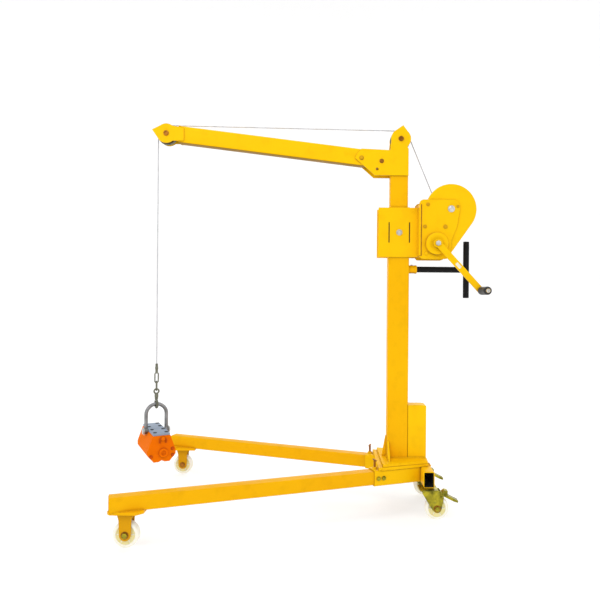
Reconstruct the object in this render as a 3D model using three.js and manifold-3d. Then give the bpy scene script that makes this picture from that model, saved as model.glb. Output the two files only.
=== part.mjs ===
// Hand-wound engine hoist crane: splayed legs on four casters, telescoping mast, bolted boom,
// two-stage winch with a wire rope, push handle and a magnetic lifting block on the hook.
// Millimetres, +Z up. The boom points to -X. Inside the group the mast stands on x = 0, y = 0.
import * as THREE from "three";
import { mergeVertices } from "three/addons/utils/BufferGeometryUtils.js";
import Module from "manifold-3d";

const wasm = await Module();
wasm.setup();

// ---------- driving dimensions ----------
const GAP = 0.3; // clearance between pieces that touch
const ORIGIN_SHIFT = 437.1; // mast centre to the middle of the object's length
const ROUND = 16; // sides of a medium cylinder

const WHEEL = { r: 52.5, width: 34, bore: 6.4, axle: 6 };
const CASTER_TOP = 140;
const FRONT_CASTER = { x: -1128, y: 488 };
const PAD = { front: 65, rear: 75, out: 49, in: 58, thick: 12, corner: 24 };
const REAR_CASTER = { x: 122, y: 166, trail: 38 };

const LEG = { side: 60, wall: 3, bottom: 148, innerX: 62 };
const LEG_LINE = { frontX: -1190, frontY: 516.7, rearX: -207, rearY: 167.7 };
const SOCKET = { side: 70, wall: 4, mouthX: -130 };
const CROSS = { x0: 100, x1: 150, half: 177, z0: 140, z1: 213, wall: 4 };
const PLATE = { x0: -100, x1: 137, frontHalf: 166, rearHalf: 90, thick: 11.7 };
const FLANGE = { x0: -80, x1: 135, inset: 4, thick: 12, gussetTop: 335 };

const LOWER_MAST = { x: 98, y: 70, wall: 4, top: 1400 };
const UPPER_MAST = { x: 84, y: 60, wall: 3.5, bottom: 980, top: 1686 };
const EXTENSION = 250;
const LOCK_BOLT = { z: 1299, r: 8, head: 11.5 };
const CLAMP = { long: 48, reach: 16 };
const BRACKET = { x0: -98, x1: 88, z0: 1183, z1: 1416, thick: 6, slitX: 48, slitLength: 96, slitWidth: 5 };
const REAR_BOX = { x1: 135, top: 485, half: 33, wall: 4, corner: 7 };

const DRUM_AT = [238, 1408];
const GEAR = { module: 3, drum: 48, pinion: 10, stage: 46, crank: 14, backlash: 0.6 };
const ROPE_ON_DRUM = 41;
const FRAME = { x: 88.3, thick: 6, plate: 4, inner: 66, z0: 1174, z1: 1451 };
const COVER = { r: 118, centre: [240, 1408], near: -65, far: -43, wall: 3, tip: [222, 1215], tipR: 22 };
const CRANK = { arm: [199, -217], near: -113, far: -105, width: 29, shaft: 10 };
const GRIP = { r: 19, near: -224, far: -117, bore: 5.4, pin: 5 };

const PULLEY = { rope: 45, r: 47.5, width: 20, pin: 8 };
const MAST_PULLEY = [6, 1742];
const TIP_PULLEY = [-1103, 1760];
const HEAD = { thick: 6, inner: 30 + GAP };
const BOOM = { tall: 78, wide: 58, wall: 4, x0: -1046, x1: -44, slope: -0.1193, refX: -280, refZ: 1667 };
const BOOM_BOLTS = [[-180, 1650], [-85, 1636]];
const ROPE_R = 2.5;

const HOOK_TURN = THREE.MathUtils.degToRad(27); // the hook and the load hang turned by this about the rope
const HOOK = { bowl: 22, rod: 5.5, z: 482, neck: 503 };
const SHACKLE = { half: 47.5, rod: 8.5, topZ: 475.5, pinZ: 350, pinR: 7, ear: 14 };
const MAGNET = { length: 250, halfWide: 64, halfTop: 38, halfFoot: 36, groove: 14, hubR: 20, hubZ: 272 };
const MAGNET_Z = { bottom: 230, foot: 262, shoulder: 282, neck: 352, top: 362 };

const HANDLE = { z: 1127, r: 14, reach: 325, half: 134.5, socketR: 19, socketEnd: 88 };

// ---------- colours and finishes ----------
const finish = (color, roughness, metalness) => ({ color, roughness, metalness });
const PAINT = finish(0xf6b808, 0.42, 0.1);
const ORANGE = finish(0xf57c12, 0.45, 0.1);
const STEEL = finish(0x9a9c98, 0.35, 0.9);
const ZINC = finish(0xa8a27a, 0.4, 0.8);
const NYLON = finish(0xece4c8, 0.5, 0.0);
const BLACK = finish(0x17181a, 0.5, 0.1);
const ROPE = finish(0xb4b4b6, 0.45, 0.8);

// ---------- solids ----------
function solid(geometry) {
  geometry.deleteAttribute("normal");
  geometry.deleteAttribute("uv");
  const merged = mergeVertices(geometry, 1e-4);
  const mesh = new wasm.Mesh({
    numProp: 3,
    vertProperties: new Float32Array(merged.attributes.position.array),
    triVerts: new Uint32Array(merged.index.array),
  });
  return new wasm.Manifold(mesh);
}

const join = (...pieces) => pieces.reduce((sum, piece) => sum.add(piece));
const cut = (body, ...tools) => tools.reduce((rest, tool) => rest.subtract(tool), body);

function box(x0, x1, y0, y1, z0, z1) {
  const geometry = new THREE.BoxGeometry(x1 - x0, y1 - y0, z1 - z0);
  return solid(geometry.translate((x0 + x1) / 2, (y0 + y1) / 2, (z0 + z1) / 2));
}

// a rod between two heights on an axis through (a, b): "x" rods sit at (y, z), "y" at (x, z), "z" at (x, y)
function rod(axis, a, b, r, from, to, sides = ROUND) {
  const geometry = new THREE.CylinderGeometry(r, r, to - from, sides);
  const mid = (from + to) / 2;
  if (axis === "y") geometry.translate(a, mid, b);
  if (axis === "z") geometry.rotateX(Math.PI / 2).translate(a, b, mid);
  if (axis === "x") geometry.rotateZ(Math.PI / 2).translate(mid, a, b);
  return solid(geometry);
}

const hexHead = (axis, a, b, r, from, to) => rod(axis, a, b, r, from, to, 6);

// an outline in the x-z plane, given depth from y0 to y1
function plate(shape, y0, y1, curveSegments = 10) {
  const geometry = new THREE.ExtrudeGeometry(shape, { depth: y1 - y0, bevelEnabled: false, curveSegments });
  return solid(geometry.rotateX(Math.PI / 2).translate(0, y1, 0));
}

function polygon(points) {
  return new THREE.Shape(points.map(([x, z]) => new THREE.Vector2(x, z)));
}

function arcPoints(cx, cz, r, from, to, steps) {
  const points = [];
  for (let i = 0; i <= steps; i++) {
    const angle = THREE.MathUtils.degToRad(from + ((to - from) * i) / steps);
    points.push([cx + r * Math.cos(angle), cz + r * Math.sin(angle)]);
  }
  return points;
}

// a turned piece about an axis along y through (x, z); the profile lists [radius, y] and closes itself
function turned(profile, x, z, sides = ROUND) {
  const points = profile.map(([r, y]) => new THREE.Vector2(r, y));
  return solid(new THREE.LatheGeometry(points, sides).translate(x, 0, z));
}

// a round bar of radius r along a list of [x, y, z] points
function bar(points, r, steps, sides = 10) {
  const path = new THREE.CatmullRomCurve3(points.map((p) => new THREE.Vector3(...p)), false, "centripetal");
  return solid(sweep(path, r, steps, sides));
}

function sweep(path, r, steps, sides) {
  const section = new THREE.Shape(arcPoints(0, 0, r, 0, 360 - 360 / sides, sides - 1).map(([x, y]) =>
    new THREE.Vector2(x, y)));
  return new THREE.ExtrudeGeometry(section, { steps, bevelEnabled: false, extrudePath: path });
}

// a chain link from z0 to z1, its rod's centreline half as wide as halfWide; it lies across x, or across y
function link(halfWide, z0, z1, r, across = "x") {
  const mid = (z0 + z1) / 2;
  const half = (sign, end) => {
    const arc = arcPoints(0, 0, halfWide, 180, 0, 6).map(([a, b]) => [a, end + sign * (b - halfWide)]);
    const points = [[-halfWide, mid - sign * 2], ...arc, [halfWide, mid - sign * 2]];
    return bar(points.map(([a, z]) => (across === "x" ? [a, 0, z] : [0, a, z])), r, 12, 6);
  };
  return join(half(1, z1), half(-1, z0));
}

function ring(z, r, thick) {
  return solid(new THREE.TorusGeometry(r, thick, 6, 16).rotateX(Math.PI / 2).translate(0, 0, z));
}

// ---------- assembly ----------
const crane = new THREE.Group();
crane.position.x = ORIGIN_SHIFT;

function add(name, body, look, parent = crane) {
  const mesh = body.getMesh();
  const geometry = new THREE.BufferGeometry();
  geometry.setAttribute("position", new THREE.BufferAttribute(new Float32Array(mesh.vertProperties), 3));
  geometry.setIndex(new THREE.BufferAttribute(new Uint32Array(mesh.triVerts), 1));
  const piece = new THREE.Mesh(geometry, new THREE.MeshStandardMaterial(look));
  piece.name = name;
  parent.add(piece);
}

const SIDES = [["near", -1], ["far", 1]];

// ---------- base ----------
function hollowBox(x0, x1, y0, y1, z0, z1, wall, open) {
  const reach = 5;
  const inner = [x0 + wall, x1 - wall, y0 + wall, y1 - wall, z0 + wall, z1 - wall];
  if (open.includes("x0")) inner[0] = x0 - reach;
  if (open.includes("x1")) inner[1] = x1 + reach;
  if (open.includes("y")) [inner[2], inner[3]] = [y0 - reach, y1 + reach];
  if (open.includes("z")) [inner[4], inner[5]] = [z0 - reach, z1 + reach];
  return cut(box(x0, x1, y0, y1, z0, z1), box(...inner));
}

const legAngle = Math.atan2(LEG_LINE.frontY - LEG_LINE.rearY, LEG_LINE.rearX - LEG_LINE.frontX);
const alongLeg = (x) => (x - LEG_LINE.rearX) / Math.cos(legAngle);

// turns a body built along x, with its line on y = 0, onto the centreline of a leg
function onLeg(body, side) {
  const turn = (-side * THREE.MathUtils.radToDeg(legAngle));
  return body.rotate([0, 0, turn]).translate([LEG_LINE.rearX, side * LEG_LINE.rearY, 0]);
}

function legs() {
  const h = LEG.side / 2;
  const s = SOCKET.side / 2;
  const mid = LEG.bottom + h;
  for (const [name, side] of SIDES) {
    const [front, rear] = [alongLeg(LEG_LINE.frontX), alongLeg(LEG.innerX)];
    const tube = hollowBox(front, rear, -h, h, mid - h, mid + h, LEG.wall, ["x1"]);
    const [x0, x1] = [FRONT_CASTER.x - PAD.front, FRONT_CASTER.x + PAD.rear];
    const [outer, inner] = [side * (FRONT_CASTER.y + PAD.out), side * (FRONT_CASTER.y - PAD.in)];
    const outline = polygon([[x0, inner], [x1, inner], [x1, outer - side * PAD.corner],
      [x1 - PAD.corner, outer], [x0 + PAD.corner / 2, outer], [x0, outer - side * PAD.corner / 2]]);
    const slab = new THREE.ExtrudeGeometry(outline, { depth: PAD.thick, bevelEnabled: false });
    add(`${name}_leg`, join(onLeg(tube, side), solid(slab.translate(0, 0, CASTER_TOP))), PAINT);

    const screwAt = alongLeg(SOCKET.mouthX + 14);
    const socket = hollowBox(alongLeg(SOCKET.mouthX), alongLeg(CROSS.x0 + 30), -s, s, mid - s, mid + s,
      SOCKET.wall, ["x0", "x1"]);
    const nut = hexHead("z", screwAt, 0, 10, mid + s - 1, mid + s + 9);
    const hole = rod("z", screwAt, 0, 5.6, mid, mid + s + 12);
    const trim = box(CROSS.x0 - GAP, CROSS.x0 + 90, -300, 300, 100, 300);
    add(`${name}_leg_socket`, cut(onLeg(cut(join(socket, nut), hole), side), trim), PAINT);

    const tip = mid + h + GAP;
    const screw = join(rod("z", screwAt, 0, 5, tip, tip + CLAMP.long),
      rod("y", screwAt, tip + CLAMP.long - 3, 3.5, -CLAMP.reach, CLAMP.reach, 12));
    add(`${name}_clamp_screw`, onLeg(screw, side), STEEL);
  }
}

function base() {
  const socketTop = LEG.bottom + LEG.side / 2 + SOCKET.side / 2;
  const { x0: crossX0, x1: crossX1, half: reach, z0: crossZ0, z1: crossZ1 } = CROSS;
  add("cross_tube", hollowBox(crossX0, crossX1, -reach, reach, crossZ0, crossZ1, CROSS.wall, ["y"]), PAINT);
  const plateZ = socketTop + GAP;
  const flangeZ = plateZ + PLATE.thick + GAP;
  const mastZ = flangeZ + FLANGE.thick + GAP;
  const halfAt = (x) => THREE.MathUtils.mapLinear(x, PLATE.x0, PLATE.x1, PLATE.frontHalf, PLATE.rearHalf);
  const wedge = (x0, x1, inset, z, thick) => {
    const [front, rear] = [halfAt(x0) - inset, halfAt(x1) - inset];
    const outline = polygon([[x0, -front], [x1, -rear], [x1, rear], [x0, front]]);
    const slab = new THREE.ExtrudeGeometry(outline, { depth: thick, bevelEnabled: false });
    return solid(slab.translate(0, 0, z));
  };
  add("base_plate", wedge(PLATE.x0, PLATE.x1, 0, plateZ, PLATE.thick), PAINT);
  const hx = LOWER_MAST.x / 2;
  const hy = LOWER_MAST.y / 2;
  const tube = hollowBox(-hx, hx, -hy, hy, mastZ, LOWER_MAST.top, LOWER_MAST.wall, ["z"]);
  add("lower_mast", cut(tube, rod("y", 0, LOCK_BOLT.z, LOCK_BOLT.r + 0.5, -80, 80)), PAINT);

  const { gussetTop } = FLANGE;
  const foot = flangeZ + 1;
  const front = polygon([[-hx - GAP, foot], [-hx - GAP, gussetTop], [-hx - 5, gussetTop],
    [FLANGE.x0 + 6, foot]]);
  const sides = SIDES.map(([, side]) => {
    const y = hy + GAP;
    const profile = polygon([[side * y, foot], [side * (y + 82), foot], [side * (y + 5), gussetTop - 20],
      [side * y, gussetTop - 20]]);
    const slab = new THREE.ExtrudeGeometry(profile, { depth: 8, bevelEnabled: false });
    return solid(slab.rotateX(Math.PI / 2).rotateZ(Math.PI / 2).translate(-hx, 0, 0));
  });
  const flange = wedge(FLANGE.x0, FLANGE.x1, FLANGE.inset, flangeZ, FLANGE.thick);
  add("mast_foot", join(flange, plate(front, -4, 4), ...sides), PAINT);

  const { x1, top, half, wall, corner } = REAR_BOX;
  const x0 = hx + GAP;
  const rounded = (inset, left) => polygon([[left, mastZ - inset], [x1 - inset, mastZ - inset],
    ...arcPoints(x1 - corner, top - corner, corner - inset, 0, 90, 6), [left, top - inset]]);
  const shell = plate(rounded(0, x0), -half, half);
  add("rear_box", cut(shell, plate(rounded(wall, x0 - wall), -half + wall, half - wall)), PAINT);
}

// ---------- casters ----------
function wheel(x, y) {
  const h = WHEEL.width / 2;
  const hub = h - 3;
  const profile = [[WHEEL.bore, -h - 1.2], [16, -h - 1.2], [17, -hub], [34, -hub], [36, -h],
    [WHEEL.r - 3, -h], [WHEEL.r, -h + 5], [WHEEL.r, h - 5], [WHEEL.r - 3, h], [36, h], [34, hub], [17, hub],
    [16, h + 1.2], [WHEEL.bore, h + 1.2], [WHEEL.bore, -h - 1.2]];
  return turned(profile, x, WHEEL.r, 20).translate([0, y, 0]);
}

function axleBolt(x, y) {
  const reach = WHEEL.width / 2 + 9;
  return join(rod("y", x, WHEEL.r, WHEEL.axle, y - reach, y + reach, 16),
    hexHead("y", x, WHEEL.r, 10, y - reach - 6, y - reach + 3),
    hexHead("y", x, WHEEL.r, 10, y + reach - 3, y + reach + 6));
}

function frontCasters() {
  for (const [name, side] of SIDES) {
    const { x } = FRONT_CASTER;
    const y = side * FRONT_CASTER.y;
    const top = CASTER_TOP - GAP;
    const cheek = polygon([[x - 33, top], [x - 25, top - 30], [x - 23, WHEEL.r],
      ...arcPoints(x, WHEEL.r, 23, 180, 360, 12), [x + 25, top - 30], [x + 33, top]]);
    const outer = WHEEL.width / 2 + 6.5;
    const fork = join(box(x - 38, x + 38, y - 36, y + 36, top - 5, top),
      plate(cheek, y - outer, y - outer + 4), plate(cheek, y + outer - 4, y + outer), axleBolt(x, y));
    add(`${name}_front_fork`, fork, PAINT);
    add(`${name}_front_wheel`, wheel(x, y), NYLON);
  }
}

function rearCasters() {
  for (const [name, side] of SIDES) {
    const x = REAR_CASTER.x;
    const y = side * REAR_CASTER.y;
    const axle = x + REAR_CASTER.trail;
    const top = CASTER_TOP - GAP;
    const seat = join(box(x - 42, x + 40, y - 42, y + 42, top - 4, top), rod("z", x, y, 26, top - 8, top - 3),
      rod("z", x, y, 8, top - 24, top - 6), rod("z", x, y, 13, top - 26, top - 20));
    add(`${name}_swivel_plate`, seat, ZINC);

    const crown = top - 8 - GAP;
    const cheek = polygon([[x - 30, crown], [x - 28, crown - 12], [axle - 20, WHEEL.r - 8],
      ...arcPoints(axle, WHEEL.r, 19, 215, 350, 10), [axle + 26, WHEEL.r + 26], [axle + 30, crown - 20],
      [axle + 14, crown]]);
    const outer = WHEEL.width / 2 + 6.5;
    const pivot = [axle + 18, crown - 18];
    const deck = cut(rod("z", x, y, 30, crown - 5, crown), rod("z", x, y, 8.5, crown - 20, crown + 5));
    const bridge = cut(box(x - 20, x + 40, y - outer, y + outer, crown - 5, crown),
      rod("z", x, y, 13.5, crown - 20, crown + 5));
    const fork = join(deck, bridge, plate(cheek, y - outer, y - outer + 4),
      plate(cheek, y + outer - 4, y + outer), axleBolt(axle, y),
      rod("y", ...pivot, 4, y - outer - 3, y + outer + 3, 12));
    add(`${name}_rear_fork`, fork, ZINC);
    add(`${name}_rear_wheel`, wheel(axle, y), NYLON);

    const [px, pz] = pivot;
    const lever = polygon([[px - 9, pz - 4], [px - 2, pz - 8], [px + 8, pz - 6], [px + 58, pz - 31],
      [px + 76, pz - 36], [px + 77, pz - 27], [px + 62, pz - 20], [px + 30, pz - 4], [px + 30, pz + 16],
      [px + 16, pz + 18], [px + 4, pz + 8], [px - 5, pz + 7]]);
    const bore = rod("y", px, pz, 4.4, y - 30, y + 30, 12);
    add(`${name}_brake_pedal`, cut(plate(lever, y - 16, y + 16), bore), BLACK);
  }
}

// ---------- winch bracket and winch ----------
function bracket() {
  const y = LOWER_MAST.y / 2 + GAP;
  const { x0, x1, z0, z1, thick, slitX, slitLength, slitWidth } = BRACKET;
  for (const [name, side] of SIDES) {
    const [near, far] = side < 0 ? [-y - thick, -y] : [y, y + thick];
    const slits = [-slitX, slitX].map((x) => box(x - slitWidth / 2, x + slitWidth / 2, near - 5, far + 5,
      LOCK_BOLT.z - slitLength / 2, LOCK_BOLT.z + slitLength / 2));
    const hole = rod("y", 0, LOCK_BOLT.z, LOCK_BOLT.r + 0.5, -80, 80);
    add(`${name}_bracket_side`, cut(box(x0, x1, near, far, z0, z1), ...slits, hole), PAINT);
  }
  const reach = y + thick + GAP;
  add("lock_bolt", join(rod("y", 0, LOCK_BOLT.z, LOCK_BOLT.r, -reach - 4, reach + 6),
    hexHead("y", 0, LOCK_BOLT.z, LOCK_BOLT.head, -reach - 9, -reach),
    hexHead("y", 0, LOCK_BOLT.z, LOCK_BOLT.head, reach, reach + 12)), STEEL);
}

const pitchRadius = (teeth) => (GEAR.module * teeth) / 2;
const angleBetween = (a, b) => Math.atan2(b[1] - a[1], b[0] - a[0]);

function shaftBelow(from, toward, teethA, teethB) {
  const distance = pitchRadius(teethA) + pitchRadius(teethB) + GEAR.backlash;
  const angle = angleBetween(from, toward);
  return [from[0] + distance * Math.cos(angle), from[1] + distance * Math.sin(angle)];
}

const STAGE_AT = shaftBelow(DRUM_AT, [212, 1327], GEAR.drum, GEAR.pinion);
const CRANK_AT = shaftBelow(STAGE_AT, [170, 1244], GEAR.stage, GEAR.crank);

// a spur gear with straight-sided teeth; the first tooth points at angle phase in the x-z plane
function gear(teeth, at, y0, y1, phase) {
  const pitch = (2 * Math.PI) / teeth;
  const root = pitchRadius(teeth) - 1.15 * GEAR.module;
  const tip = pitchRadius(teeth) + 0.7 * GEAR.module;
  const points = [];
  for (let i = 0; i < teeth; i++) {
    for (const [turn, r] of [[-0.27, root], [-0.1, tip], [0.1, tip], [0.27, root]]) {
      const angle = phase + (i + turn) * pitch;
      points.push([at[0] + r * Math.cos(angle), at[1] + r * Math.sin(angle)]);
    }
  }
  return plate(polygon(points), y0, y1);
}

// outline around two circles of different size
function teardrop(inset) {
  const { r, centre, tip, tipR } = COVER;
  const lean = THREE.MathUtils.radToDeg(angleBetween(tip, centre));
  const apart = Math.hypot(centre[0] - tip[0], centre[1] - tip[1]);
  const spread = THREE.MathUtils.radToDeg(Math.acos((r - tipR) / apart));
  return polygon([...arcPoints(...centre, r - inset, lean - 180 + spread, lean + 180 - spread, 30),
    ...arcPoints(...tip, tipR - inset, lean + 180 - spread, lean + 180 + spread, 4)]);
}

function winchFrame() {
  const { x, thick, plate: sheet, inner, z0, z1 } = FRAME;
  const outer = inner + sheet;
  const side = polygon([[x, z0 + 12], [x + 12, z0], [212, z0],
    ...arcPoints(212, z0 + 24, 24, -90, 0, 4).slice(1), [240, 1262], [266, 1330], [279, DRUM_AT[1]],
    ...arcPoints(246, z1 - 33, 33, 0, 90, 5),
    ...arcPoints(x + 22, z1 - 22, 22, 90, 180, 4)]);
  const holes = [rod("y", ...DRUM_AT, 10.5, -90, 90), rod("y", ...STAGE_AT, 8.5, -90, 90),
    rod("y", ...CRANK_AT, 10.5, -90, 90)];
  const rods = [[129, 1428], [116, 1325], [122, 1200]].map(([rx, rz]) => join(
    rod("y", rx, rz, 6, -outer, outer, 12), rod("y", rx, rz, 8, -outer - 3, -outer + 1, 12),
    rod("y", rx, rz, 8, outer - 1, outer + 3, 12)));
  const wings = join(plate(side, -outer, -inner), plate(side, inner, outer));
  const back = box(x, x + thick, -outer, outer, z0 + 12, z1 - 22);
  add("winch_frame", join(back, cut(wings, ...holes), ...rods), PAINT);

  const { near, far, wall } = COVER;
  const shell = cut(plate(teardrop(0), near, far), plate(teardrop(wall), near + wall, far + 5));
  add("gear_cover", cut(shell, rod("y", ...DRUM_AT, 10.6, -90, 0), rod("y", ...STAGE_AT, 8.6, -90, 0),
    rod("y", 129, 1428, 6.5, -90, 0), rod("y", ...CRANK_AT, 12.5, -90, 0)), PAINT);

  const seat = -outer - GAP;
  const housing = turned([[10.6, -94], [45, -94], [51, -88], [51, seat], [10.6, seat], [10.6, -94]],
    ...CRANK_AT, 24);
  add("brake_housing", housing, PAINT);
}

function winchMovers() {
  const { inner, plate: sheet } = FRAME;
  const out = inner + sheet;
  const rope = ROPE_ON_DRUM - ROPE_R - GAP;
  const profile = [[0, -out - 9], [9, -out - 9], [9, -42], [60, -42], [60, -38], [rope, -38], [rope, 34],
    [60, 34], [60, 38], [16, 38], [9, 40], [9, out + 6], [0, out + 6]];
  const nut = hexHead("y", ...DRUM_AT, 13, -out - 8, -out - GAP);
  add("drum", join(turned(profile, ...DRUM_AT, 24), nut), STEEL);

  const first = angleBetween(DRUM_AT, STAGE_AT);
  const second = angleBetween(STAGE_AT, CRANK_AT);
  const half = (teeth) => Math.PI / teeth;
  const wheelBore = rod("y", ...DRUM_AT, 9 + GAP, -90, 0);
  add("drum_gear", cut(gear(GEAR.drum, DRUM_AT, -56, -46, first), wheelBore), STEEL);
  const stage = join(rod("y", ...STAGE_AT, 8, -out - 3, out + 3),
    gear(GEAR.pinion, STAGE_AT, -58, -44.5, first + Math.PI + half(GEAR.pinion)),
    gear(GEAR.stage, STAGE_AT, 46, 56, second));
  add("stage_shaft", stage, STEEL);

  const shaft = join(rod("y", ...CRANK_AT, CRANK.shaft, -120, out + 4),
    gear(GEAR.crank, CRANK_AT, 44, 58, second + Math.PI + half(GEAR.crank)),
    rod("y", ...CRANK_AT, 17, CRANK.far + GAP, -94 - GAP),
    hexHead("y", ...CRANK_AT, 12.5, -121, CRANK.near - GAP));
  add("crank_shaft", shaft, STEEL);

  const { arm, near, far, width } = CRANK;
  const length = Math.hypot(...arm);
  const tilt = THREE.MathUtils.radToDeg(Math.atan2(arm[1], arm[0]));
  const grip = [CRANK_AT[0] + arm[0], CRANK_AT[1] + arm[1]];
  const flat = box(0, length, near, far, -width / 2, width / 2).rotate([0, -tilt, 0])
    .translate([CRANK_AT[0], 0, CRANK_AT[1]]);
  const ends = [CRANK_AT, grip].map(([x, z], i) => rod("y", x, z, width / 2 + (i ? 0 : 6), near, far));
  const stud = rod("y", ...grip, GRIP.pin, GRIP.near - 8, near + 2, 16);
  const cap = rod("y", ...grip, 9, GRIP.near - 7, GRIP.near - GAP, 16);
  const bore = rod("y", ...CRANK_AT, CRANK.shaft + GAP, -130, -90);
  add("crank_arm", cut(join(flat, ...ends, stud, cap), bore), PAINT);
  const { r, bore: hole } = GRIP;
  const shape = [[hole, GRIP.near], [r - 4, GRIP.near], [r, GRIP.near + 6], [r - 1.5, -170],
    [r, GRIP.far - 8], [r - 4, GRIP.far], [hole, GRIP.far], [hole, GRIP.near]];
  add("crank_grip", turned(shape, ...grip, 18), BLACK);
}

function pushHandle() {
  const { z, r, reach, half, socketR, socketEnd } = HANDLE;
  const start = LOWER_MAST.x / 2 + GAP;
  const bore = rod("x", 0, z, r + GAP, start - 5, socketEnd + 5);
  const socket = cut(rod("x", 0, z, socketR, start, socketEnd), bore);
  add("handle_socket", socket, PAINT);
  const stem = cut(rod("x", 0, z, r, start + 3, reach), rod("x", 0, z, r - 3, start - 5, reach - 16));
  const core = rod("z", reach, 0, r - 3, z - half - 5, z + half - 4);
  const grip = cut(rod("z", reach, 0, r, z - half, z + half), core);
  const web = rod("x", 0, z, r, reach - 14, reach);
  add("push_handle", join(stem, grip, web), BLACK);
}

// ---------- upper mast, boom and pulleys ----------
const boomZ = (x) => BOOM.refZ + BOOM.slope * (x - BOOM.refX);

function boomBand(x0, x1, y0, y1, inset) {
  const half = (BOOM.tall / 2 - inset) / Math.cos(Math.atan(BOOM.slope));
  return plate(polygon([[x0, boomZ(x0) - half], [x1, boomZ(x1) - half], [x1, boomZ(x1) + half],
    [x0, boomZ(x0) + half]]), y0, y1);
}

function boltThrough(name, at, r, reach, head) {
  add(name, join(rod("y", ...at, r, -reach - 2, reach + 8, 16), hexHead("y", ...at, head, -reach - 6, -reach),
    hexHead("y", ...at, head, reach, reach + 7)), STEEL);
}

function upperMast() {
  const hx = UPPER_MAST.x / 2;
  const hy = UPPER_MAST.y / 2;
  const tube = hollowBox(-hx, hx, -hy, hy, UPPER_MAST.bottom, UPPER_MAST.top, UPPER_MAST.wall, ["z"]);
  const slot = LOCK_BOLT.r + 1;
  const slots = box(-slot, slot, -60, 60, LOCK_BOLT.z - slot - EXTENSION, LOCK_BOLT.z + slot);
  add("upper_mast", cut(tube, slots), PAINT);

  const [px, pz] = MAST_PULLEY;
  const outline = polygon([[-117, 1568], [hx, 1568], [hx, 1694], [hx - 6, 1706],
    ...arcPoints(px, pz, 47, -38, 48, 8), [16, 1806], ...arcPoints(px, pz, 47, 118, 190, 8), [-hx - 2, 1688],
    [-180, 1694], [-199, 1672], [-211, 1650]]);
  const holes = [...BOOM_BOLTS.map((at) => rod("y", ...at, 6.4, -60, 60, 16)),
    rod("y", -106, 1598, 7, -60, 60, 16), rod("y", px, pz, PULLEY.pin + GAP, -60, 60)];
  const { inner, thick } = HEAD;
  for (const [name, side] of SIDES) {
    const [y0, y1] = side < 0 ? [-inner - thick, -inner] : [inner, inner + thick];
    add(`${name}_head_plate`, cut(plate(outline, y0, y1), ...holes), PAINT);
  }
  BOOM_BOLTS.forEach((at, i) => boltThrough(`boom_bolt_${i + 1}`, at, 6, inner + thick + GAP, 11));
}

function boom() {
  const half = BOOM.wide / 2;
  const tube = cut(boomBand(BOOM.x0, BOOM.x1, -half, half, 0),
    boomBand(BOOM.x0 - 10, BOOM.x1 + 10, -half + BOOM.wall, half - BOOM.wall, BOOM.wall),
    ...BOOM_BOLTS.map((at) => rod("y", ...at, 6.4, -60, 60, 16)));
  add("boom", tube, PAINT);
  const [px, pz] = TIP_PULLEY;
  const tail = BOOM.x0 + 26;
  const outline = polygon([[tail, boomZ(tail) - 31], [tail, boomZ(tail) + 31],
    ...arcPoints(px, pz, 46, 50, 128, 7), [px - 67, pz + 17], ...arcPoints(px, pz, 46, 205, 310, 10)]);
  const y = half + GAP;
  for (const [name, side] of SIDES) {
    const [y0, y1] = side < 0 ? [-y - 5, -y] : [y, y + 5];
    add(`${name}_tip_plate`, cut(plate(outline, y0, y1), rod("y", px, pz, PULLEY.pin + GAP, -60, 60)), PAINT);
  }
}

function pulleys() {
  const h = PULLEY.width / 2;
  const groove = PULLEY.rope - ROPE_R - GAP;
  const bore = PULLEY.pin + GAP;
  const bush = HEAD.inner - 3;
  const profile = [[bore, -bush], [14, -bush], [14, -h], [PULLEY.r, -h], [PULLEY.r, -h + 2.5], [groove, -3.2],
    [groove, 3.2], [PULLEY.r, h - 2.5], [PULLEY.r, h], [14, h], [14, bush], [bore, bush], [bore, -bush]];
  const places = [["mast_pulley", MAST_PULLEY, HEAD.inner + HEAD.thick], ["tip_pulley", TIP_PULLEY,
    BOOM.wide / 2 + GAP + 5]];
  for (const [name, at, plateOut] of places) {
    add(name, turned(profile, ...at, 24), STEEL);
    const out = plateOut + GAP;
    add(`${name}_pin`, join(rod("y", ...at, PULLEY.pin, -out - 2, out + 4),
      rod("y", ...at, 12, -out - 5, -out), rod("y", ...at, 12, out, out + 5)), STEEL);
  }
}

// ---------- rope ----------
// the line between two circles: each radius is signed, + where the rope passes above or to the right
function tangent(a, ra, b, rb) {
  const [dx, dz] = [b[0] - a[0], b[1] - a[1]];
  const length = Math.hypot(dx, dz);
  const k = (ra - rb) / length;
  const s = Math.sqrt(1 - k * k);
  const up = dx < 0 ? -1 : 1;
  const n = [(k * dx - s * up * dz) / length, (k * dz + s * up * dx) / length];
  return [[a[0] + ra * n[0], 0, a[1] + ra * n[1]], [b[0] + rb * n[0], 0, b[1] + rb * n[1]]];
}

function straightRope(from, to) {
  const path = new THREE.LineCurve3(new THREE.Vector3(...from), new THREE.Vector3(...to));
  return solid(sweep(path, ROPE_R, 2, 8));
}

function wrap(centre, from, to, steps) {
  const path = arcPoints(...centre, PULLEY.rope, from, to, steps).map(([x, z]) => [x, 0, z]);
  return bar(path, ROPE_R, steps * 2, 8);
}

const bearing = (centre, [x, , z]) => THREE.MathUtils.radToDeg(Math.atan2(z - centre[1], x - centre[0]));

const BACK_RUN = tangent(MAST_PULLEY, PULLEY.rope, DRUM_AT, -ROPE_ON_DRUM);
const TOP_RUN = tangent(TIP_PULLEY, PULLEY.rope, MAST_PULLEY, PULLEY.rope);
const FALL_X = TIP_PULLEY[0] - PULLEY.rope;
const EYE_TOP = 668;

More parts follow.
